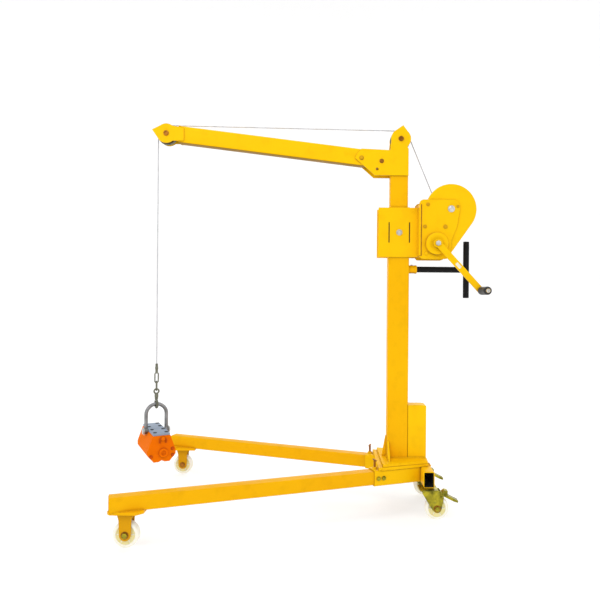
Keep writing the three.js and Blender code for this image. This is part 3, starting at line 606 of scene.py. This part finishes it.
def make_wheels():
    spots = [(f"{name}_{end}_wheel", x, side * y, f"{end}_wheel_{name}")
             for end, (x, y) in (("front", FRONT_WHEEL), ("rear", REAR_WHEEL)) for name, side in SIDES]
    r = WHEEL_RADIUS
    half = [(r, 0), (r, 8), (r - 0.5, 11), (r - 1.6, 14), (r - 3.6, 16.2), (r - 6, 17), (40, 17),
            (38.4, 16.4), (37, 14), (34, 12.4), (24, 12), (20, 12.6), (18.4, 14), (17, 17.4), (15.6, 18.2),
            (11, 18.2), (10.4, 17.4), (6.4, 17)]
    profile = [(a, -t) for a, t in reversed(half)] + half[1:]
    for node, x, y, body in spots:
        tyre = lathe("y", x, r, [(a, y + t) for a, t in profile], 64, closed=True, hub=39)
        ribs = []
        for way in (-1, 1):
            for k in range(6):
                turn = math.radians(60 * k)
                ends = [(x + q * math.cos(turn), y + way * 12.4, r + q * math.sin(turn)) for q in (18, 36)]
                ribs.append(bar(between(*ends, 4), [2.6, 2.2, 2.0, 2.2, 2.6], 8))
        piece(f"{node}_cast", join(tyre, *ribs), (NYLON, HUB), body, [node])
        carrier = body.replace("front_wheel", "leg").replace("rear_wheel", "swivel")
        faces = [(y + s * FORK_FACE, y + s * WASHER_FACE) for _, s in SIDES]
        rings = [lathe("y", x, r, [(6, a), (15, a), (15.5, (a + b) / 2), (15, b), (6, b)], 40)
                 for a, b in faces]
        piece(f"{node}_axle_washers", join(*rings), (BOLT_DARK,), carrier)
        heads = [hex_head("y", x, r, 12, y + s * WASHER_FACE, y + s * (WASHER_FACE + 7), False)
                 for _, s in SIDES]
        # The far wheels' axle heads take the dark brown bolt material as painted shade; the near ones are zinc.
        piece(f"{node}_axle_heads", join(*heads), (BOLT_DARK if "far" in node else ZINC,), carrier,
              (), 0.5)


# ---------------------------------------------------------------- winch
CRANK_AT = (170.0, 1243.93)
GRIP_AT = (369.0, 1026.93)
LOCK_AT = (0, 1299)
COVER_NEAR, COVER_FAR = -65.0, -43.0
COVER_TOP, COVER_TOP_RADIUS = (240, 1408), 118
COVER_TIP, COVER_TIP_RADIUS = (222, 1215), 22


def teardrop(inset):
    (ax, az), r = COVER_TOP, COVER_TOP_RADIUS
    (bx, bz), q = COVER_TIP, COVER_TIP_RADIUS
    lean = math.degrees(math.atan2(az - bz, ax - bx))
    spread = math.degrees(math.acos((r - q) / math.hypot(ax - bx, az - bz)))
    return (arc(ax, az, r - inset, lean - 180 + spread, lean + 180 - spread, 72)
            + arc(bx, bz, q - inset, lean + 180 - spread, lean + 180 + spread, 14))


def make_cover():
    levels = [(0, COVER_FAR), (0, COVER_NEAR + 6), (0.6, COVER_NEAR + 3.4), (2.2, COVER_NEAR + 1.4),
              (4.6, COVER_NEAR + 0.3), (7.5, COVER_NEAR)]
    outside = strip([[(x, y, z) for x, z in teardrop(inset)] for inset, y in levels], caps=False)
    inner = [(8, COVER_NEAR + 3), (4, COVER_NEAR + 4.5), (3, COVER_NEAR + 8), (3, COVER_FAR)]
    inside = strip([[(x, y, z) for x, z in teardrop(inset)] for inset, y in inner], caps=False, index=1)
    flat = [(x, COVER_NEAR, z) for x, z in teardrop(7.5)]
    back = [(x, COVER_NEAR + 3, z) for x, z in teardrop(8)]
    lip = strip([[(x, COVER_FAR, z) for x, z in teardrop(inset)] for inset in (0, 3)], caps=False)
    count = tuple(range(len(flat)))
    collar = lathe("y", *CRANK_AT, [(20, -64.5), (20, -66.5), (18, -67), (12.6, -67), (12.6, -64.5)], 40)
    cover = join(outside, inside, (flat, [count], [0]), (back, [count], [1]), lip, collar)
    piece("gear_cover_pressed", cover, PAINTED, "base", ["gear_cover"])


def make_winch():
    casting = [(10.6, -94), (18, -94), (19, -92.6), (30, -92.6), (32, -94), (46, -94), (49, -93),
               (51, -90.5), (51, -84), (49.5, -83.4), (49.5, -80.6), (51, -80), (51, -72), (50, -70.4),
               (10.6, -70.4)]
    piece("brake_housing_cast", lathe("y", *CRANK_AT, casting, 72, closed=True), (YELLOW,), "base",
          ["brake_housing"])
    flange = [(9.3, -42), (58, -42), (59.4, -41.6), (60, -40.6), (60, -39.2), (59, -38), (38.2, -38),
              (38.2, 34), (59, 34), (60, 35), (60, 37), (59, 38), (16, 38), (16, 40), (9.3, 40)]
    core = lathe("y", *DRUM, flange, 72, closed=True)
    shaft = lathe("y", *DRUM, [(0, -79), (8, -79), (9, -78), (9.2, -60), (9.2, 74), (8, 76), (0, 76)], 32)
    nut = hex_head("y", *DRUM, 13, -70.4, -78)
    piece("drum_turned", join(core, shaft, nut), (STEEL,), "winch_drum", ["drum"])
    turns, pitch, steps = 12, 5.3, 40
    coil = [(DRUM[0] + 41 * math.cos(t), -34 + pitch * t / (2 * math.pi), DRUM[1] + 41 * math.sin(t))
            for t in (2 * math.pi * i / steps for i in range(turns * steps + 1))]
    piece("rope_on_drum", rope(coil, 2.5, 34, 6), (ROPE,), "winch_drum")
    x, z = GRIP_AT
    near, far = -224, -117
    ribs = [(5.4, near), (13, near), (16.5, near + 1.2), (18, near + 4), (18.6, near + 8)]
    ribs += [(18 + 0.6 * math.cos(k * math.pi), near + 12 + k * 7.4) for k in range(12)]
    ribs += [(18.6, far - 6), (17.8, far - 2.4), (15.5, far), (5.4, far)]
    piece("crank_grip_moulded", lathe("y", x, z, ribs, 48, closed=True), (RUBBER,), "grip",
          ["crank_grip"])
    stud = [(0, near - 8), (6, near - 8), (8.4, near - 7), (9, near - 5), (9, near - 0.4), (0, near - 0.4)]
    piece("crank_grip_stud", lathe("y", x, z, stud, 32), (STEEL,), "crank")
    collar = [(5.4, -116.6), (15, -116.6), (16, -115.6), (16, -113.4), (5.4, -113.4)]
    piece("crank_grip_collar", lathe("y", x, z, collar, 40, closed=True), (RUBBER,), "crank")
    arm = Vector((GRIP_AT[0] - CRANK_AT[0], GRIP_AT[1] - CRANK_AT[1]))
    along, over = arm.normalized(), arm.normalized().orthogonal()
    middle = Vector(CRANK_AT) + arm * 0.47
    corners = [tuple(middle + along * a + over * b) for a, b in ((-15, -7), (15, -7), (15, 7), (-15, 7))]
    piece("crank_arm_blank_label", prism(corners, -113.5, -112.8), (LABEL,), "crank")
    lock = join(rod("y", *LOCK_AT, 8, -41.9, 47.9), hex_head("y", *LOCK_AT, 11.5, -41.7, -50.8),
                hex_head("y", *LOCK_AT, 11.5, 41.7, 53.2))
    piece("lock_bolt_turned", lock, (STEEL,), "base", ["lock_bolt"], 0.4)
    seams = [weld((-49, side * 36, z), (49, side * 36, z), 2) for _, side in SIDES for z in (1182, 1417)]
    seams += [weld((88, side * 41, 1190), (88, side * 41, 1405), 2.4) for _, side in SIDES]
    # Painted shadow: dark strips set behind the bracket's slots.
    slots = [prism([(x - 2.3, 1252), (x + 2.3, 1252), (x + 2.3, 1346), (x - 2.3, 1346)],
                   side * 35.1, side * 37.5) for x in (-48, 48) for _, side in SIDES]
    piece("bracket_slot_painted_shadow", join(*slots), (HOLLOW_SHADE,), "base")
    face = -70.2
    places = ((129, 1428, 7.8), (116, 1325, 7.8), (211.2, 1324.6, 8.8), (269, 1420, 5.6))
    heads = [lathe("y", x, z, [(0, face - 5), (r - 2, face - 5), (r, face - 3.6), (r, face)], 24)
             for x, z, r in places]
    piece("winch_plate_rivets", join(*heads), (WORN_YELLOW,), "base")
    fold = prism([(88.4, 1190), (95.6, 1190), (95.6, 1424), (93.6, 1430), (90.4, 1430), (88.4, 1424)],
                 -77, -70)
    piece("winch_plate_fold", fold, (YELLOW,), "base", (), 1.2)
    # Painted shadow: a dark strip for the shadow gap beside the plate's fold.
    shade = prism([(96.2, 1188), (101.2, 1188), (101.2, 1428), (96.2, 1428)], -70.5, -69.9)
    piece("winch_plate_painted_shadow", shade, (BOLT_DARK,), "base")
    piece("bracket_welds", join(*seams), (YELLOW,), "base")


def make_handle():
    z, r, reach, half = 1127, 14, 325, 134.5
    ends = [(0, -half), (r - 3, -half), (r - 0.8, -half + 0.8), (r, -half + 3), (r, half - 3),
            (r - 0.8, half - 0.8), (r - 3, half), (0, half)]
    upright = lathe("z", reach, 0, [(q, z + t) for q, t in ends], 40)
    stem = lathe("x", 0, z, [(0, 52), (r, 52), (r, reach - 2), (0, reach - 2)], 40)
    fillet = lathe("x", 0, z, [(r, reach - 17), (r + 1.6, reach - 14), (r + 3.4, reach - 10),
                               (r - 4, reach - 5)], 40)
    piece("push_handle_tube", join(upright, stem, fillet), (BLACK_PAINT,), "base",
          ["push_handle"])
    ring = lathe("x", 0, z, [(14.3, 49.4), (19, 49.4), (19, 78), (20, 79), (20, 86.8), (19, 88), (15.4, 88),
                             (14.3, 87)], 40, closed=True)
    bead = lathe("x", 0, z, [(18.6, 49.2), (22.6, 49.4), (21.8, 51.8), (18.6, 53.4)], 40, closed=True)
    screw = hex_head("z", 66, 0, 6, z + 18.4, z + 23)
    piece("handle_socket_turned", join(ring, bead), (MAST_YELLOW,), "base",
          ["handle_socket"])
    piece("handle_set_screw", screw, (STEEL,), "base", (), 0.3)


# ---------------------------------------------------------------- boom, pulleys and rope
BOOM_SLOPE = -0.1193
MAST_PULLEY, TIP_PULLEY = (6.0, 1742.0), (-1103.0, 1760.0)


def boom_z(x):
    return 1667 + BOOM_SLOPE * (x + 280)


def make_boom():
    tube = square_tube((-1046, 0, boom_z(-1046)), (-44, 0, boom_z(-44)), 58, 78, 4, 7, planes=(-1046, -44))
    piece("boom_drawn", tube, PAINTED, "mast_extension", ["boom"], 0.8)
    beads = [weld((-1044, side * 30, boom_z(-1044) + end * 38),
                  (-1022, side * 31, boom_z(-1022) + end * 32), 2) for _, side in SIDES for end in (-1, 1)]
    beads += [weld((-41, side * 30.6, 1569), (-41, side * 30.6, 1684), 2.2) for _, side in SIDES]
    piece("boom_welds", join(*beads), (YELLOW,), "mast_extension")
    for i, (x, z, look) in enumerate(((-180, 1650, WORN_YELLOW), (-85, 1636, BOLT_DARK))):
        out = 36.6
        bolt = join(rod("y", x, z, 6, -out - 2, out + 8), hex_head("y", x, z, 8.6, -out, -out - 6),
                    hex_head("y", x, z, 8.6, out, out + 7))
        piece(f"boom_bolt_{i + 1}_turned", bolt, (look,), "mast_extension",
              [f"boom_bolt_{i + 1}"], 0.4)
    rim = [(8.3, 27.3), (13, 27.3), (14, 26), (14, 10), (46.8, 10), (47.5, 9.4), (47.5, 7.8), (46, 6),
           (43.4, 3.6), (42.3, 1.8)]
    groove = [(a, -t) for a, t in rim] + [(42.2, 0)] + rim[::-1]
    for name, at, out, body in (("mast_pulley", MAST_PULLEY, 36.6, "mast_sheave"),
                                ("tip_pulley", TIP_PULLEY, 34.6, "tip_sheave")):
        piece(f"{name}_turned", lathe("y", *at, groove, 72, closed=True), (DARK_STEEL,), body,
              [name])
        pin = join(rod("y", *at, 8, -out - 1, out + 4),
                   lathe("y", *at, [(0, -out - 3), (6, -out - 3), (7, -out - 5), (11, -out - 5),
                                    (12, -out - 4), (12, -out)], 40),
                   lathe("y", *at, [(12, out), (12, out + 4), (11, out + 5), (0, out + 5)], 40))
        piece(f"{name}_pin_turned", pin, (BOLT_DARK,), "mast_extension", [f"{name}_pin"])


def touch(a, ra, b, rb):
    """The line touching two circles; each radius is + where it passes above or to the right."""
    dx, dz = b[0] - a[0], b[1] - a[1]
    length = math.hypot(dx, dz)
    k = (ra - rb) / length
    s = math.sqrt(1 - k * k)
    up = -1 if dx < 0 else 1
    nx, nz = (k * dx - s * up * dz) / length, (k * dz + s * up * dx) / length
    return (a[0] + ra * nx, 0, a[1] + ra * nz), (b[0] + rb * nx, 0, b[1] + rb * nz)


def make_ropes():
    r = 2.5
    back = touch(MAST_PULLEY, 45, DRUM, -41)
    top = touch(TIP_PULLEY, 45, MAST_PULLEY, 45)

    def angle(centre, p):
        return math.degrees(math.atan2(p[2] - centre[1], p[0] - centre[0]))

    over_mast = [(x, 0, z) for x, z in arc(*MAST_PULLEY, 45, angle(MAST_PULLEY, back[0]),
                                           angle(MAST_PULLEY, top[1]), 24)]
    over_tip = [(x, 0, z) for x, z in arc(*TIP_PULLEY, 45, angle(TIP_PULLEY, top[0]), 180, 24)]
    path = over_mast + between(top[1], top[0], 260)[1:-1] + over_tip
    piece("rope_over_boom", rope(path, r), (ROPE,), "mast_extension", ["rope_top_run"])
    start = tuple(Vector(back[0]).lerp(Vector(back[1]), 0.001))
    run = piece("rope_to_drum", rope(between(start, back[1], 100), r), (ROPE,), None,
                ["rope_back_run"])
    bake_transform(run)
    upper, lower = (ROPE_X, 0, 1759.7), (ROPE_X, 0, 668.3)
    fall = piece("rope_to_hook", rope(between(upper, lower, 300), r), (ROPE,), None,
                 ["rope_fall"])
    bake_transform(fall)


# ---------------------------------------------------------------- hook, shackle and magnet
def stadium(half, z0, z1, across="x"):
    loop = arc(0, z1 - half, half, 0, 180, 16) + arc(0, z0 + half, half, 180, 360, 16)
    return [(a, 0, z) if across == "x" else (0, a, z) for a, z in loop]


def make_hook():
    sleeve = lathe("z", 0, 0, [(2.5, 668), (5.4, 668), (6, 667), (6, 654), (7.2, 652), (7.2, 641), (6, 639),
                               (6, 628), (5, 621), (0, 620)], 32)
    eye = join(sleeve, bar(stadium(8, 577, 625), 3, 12, closed=True))
    piece("rope_eye_swaged", hung(eye), (DARK_STEEL,), "hook_line", ["rope_eye"])
    piece("chain_link_forged", hung(bar(stadium(7.5, 540, 583.4, "y"), 3, 12, closed=True)), (DARK_STEEL,),
          "hook_line", ["chain_link"])
    ring = [(x, 0, z) for x, z in arc(0, 536.4, 11, 0, 360, 32)[:-1]]
    collar = lathe("z", 0, 0, [(4.9, 506), (7.4, 506), (9, 507.4), (9, 519), (8, 523), (6, 525.5),
                               (0, 526)], 32)
    piece("hook_eye_forged", hung(join(bar(ring, 4, 12, closed=True), collar)), (DARK_STEEL,), "hook_line",
          ["hook_eye"])
    bowl = arc(0, 482, 22, 180, 360, 28)
    neck = [(0, 502), (-5, 498), (-12, 493.6), (-18.5, 488.5)]
    line = neck + bowl + [(22.6, 489), (21, 496.2)]
    radii = [5.4, 5.4, 5.3, 5.2] + [5.3 + 1.1 * math.sin(math.pi * i / 28) for i in range(29)] + [4.2, 2.6]
    shank = lathe("z", 0, 0, [(0, 497), (6.4, 498.4), (8, 500.4), (8, 505.6), (4.4, 505.7), (4.4, 517),
                              (0, 517)], 32)
    bend = bar([(0, y, z) for y, z in line], radii, 16)
    piece("hook_forged", hung(join(bend, shank)), (DARK_STEEL,), "hook_body", ["hook"])


def make_load():
    half, r, top, pin_z = 47.5, 8.5, 475.5, 350
    arch = [(x, 0, z) for x, z in arc(0, top - half, half, 180, 0, 40)]
    line = between((-half, 0, pin_z + 6), (-half, 0, top - half), 8)[:-1] + arch
    line += between((half, 0, top - half), (half, 0, pin_z + 6), 8)[1:]
    ears = [lathe("x", 0, pin_z, [(7.4, x - r), (12.6, x - r), (14, x - r + 1.4), (14, x + r - 1.4),
                                  (12.6, x + r), (7.4, x + r)], 40, closed=True) for x in (-half, half)]
    piece("shackle_forged", hung(join(bar(line, r, 20), *ears)), (LINK_STEEL,), "shackle_body",
          ["shackle"])
    out = half + r + 0.3
    pin = join(rod("x", 0, pin_z, 7, -out - 3, out + 3), hex_head("x", 0, pin_z, 15, -out, -out - 8.6),
               hex_head("x", 0, pin_z, 15, out, out + 8.6))
    piece("shackle_pin_turned", hung(pin), (STEEL,), "shackle_body", ["shackle_pin"], 0.5)

    foot, shoulder, crest = 262, 282, 362
    near, far = -125, 125
    edge = [(-36, 230), (-14, 230), (0, 237), (14, 230), (36, 230), (64, foot), (64, shoulder), (41, 345),
            (39, 350), (-39, 350), (-41, 345), (-64, shoulder), (-64, foot)]
    block = prism(edge, near, far)
    hub = lathe("y", 7, 272, [(0, near - 5), (9, near - 5), (10.5, near - 7), (11.5, near - 11.4),
                              (13, near - 12), (18, near - 12), (20, near - 10), (20, near)], 48)
    knob = lathe("y", 5, 336, [(0, near - 9), (7, near - 8.4), (9.6, near - 6), (10, near)], 32)
    piece("magnet_block", hung(join(block, hub, knob)), (ORANGE,), "magnet",
          ["magnet_body"], 1.8)
    lid = prism([(-38, 350.2), (38, 350.2), (38, crest - 1.6), (-38, crest - 1.6)], near + 3, far - 3)
    piece("magnet_top_plate", hung(lid), (PLATE_BLUE,), "magnet", (), 1.0)
    screw = [(0, crest - 1.2), (4.4, crest - 1.2), (4.8, crest - 0.1), (8.6, crest - 0.1), (9, crest - 0.5),
             (9, crest - 3)]
    screws = [lathe("z", x, y, screw, 24) for y in (-100, -30, 40, 104) for x in (-26, 26)]
    piece("magnet_top_screws", hung(join(*screws)), (BLACK_PAINT,), "magnet")
    bolts = [hex_head("y", x, z, 6.5, near, near - 6) for x, z in ((-48, 258), (50, 258), (49, 287))]
    piece("magnet_bolts", hung(join(*bolts)), (ORANGE_DARK,), "magnet", (), 0.3)
    lip = [(x, near - 3.5, z) for x, z in arc(5, 326, 15, -35, 215, 28)]
    piece("magnet_lever_guard", hung(bar(lip, 3.4, 10)), (ORANGE_DARK,), "magnet")


make_legs()
make_base()
make_wheels()
make_cover()
make_winch()
make_handle()
make_boom()
make_ropes()
make_hook()
make_load()


# ---------------------------------------------------------------- looks of the CAD nodes that stay
def dress(names, material, width):
    for name in names:
        node = NODES[name]
        node.data.materials.clear()
        node.data.materials.append(material)
        join_corners = node.modifiers.new("weld", "WELD")
        join_corners.merge_threshold = 0.00001
        soft_edges(node, width)


def both(*names):
    return [f"{side}_{name}" for side, _ in SIDES for name in names]


dress(["base_plate", "mast_foot", "rear_box", "winch_frame"]
      + both("bracket_side", "tip_plate", "head_plate"), YELLOW, 0.8)
dress(["crank_arm"], YELLOW, 0.7)
dress(both("front_fork"), FORK_YELLOW, 0.7)
dress(both("swivel_plate", "rear_fork"), ZINC, 0.6)
dress(both("brake_pedal"), ZINC, 0.8)
dress(["drum_gear", "stage_shaft", "crank_shaft", "hook_latch"], STEEL, 0.3)
dress(both("clamp_screw"), BOLT_DARK, 0.3)
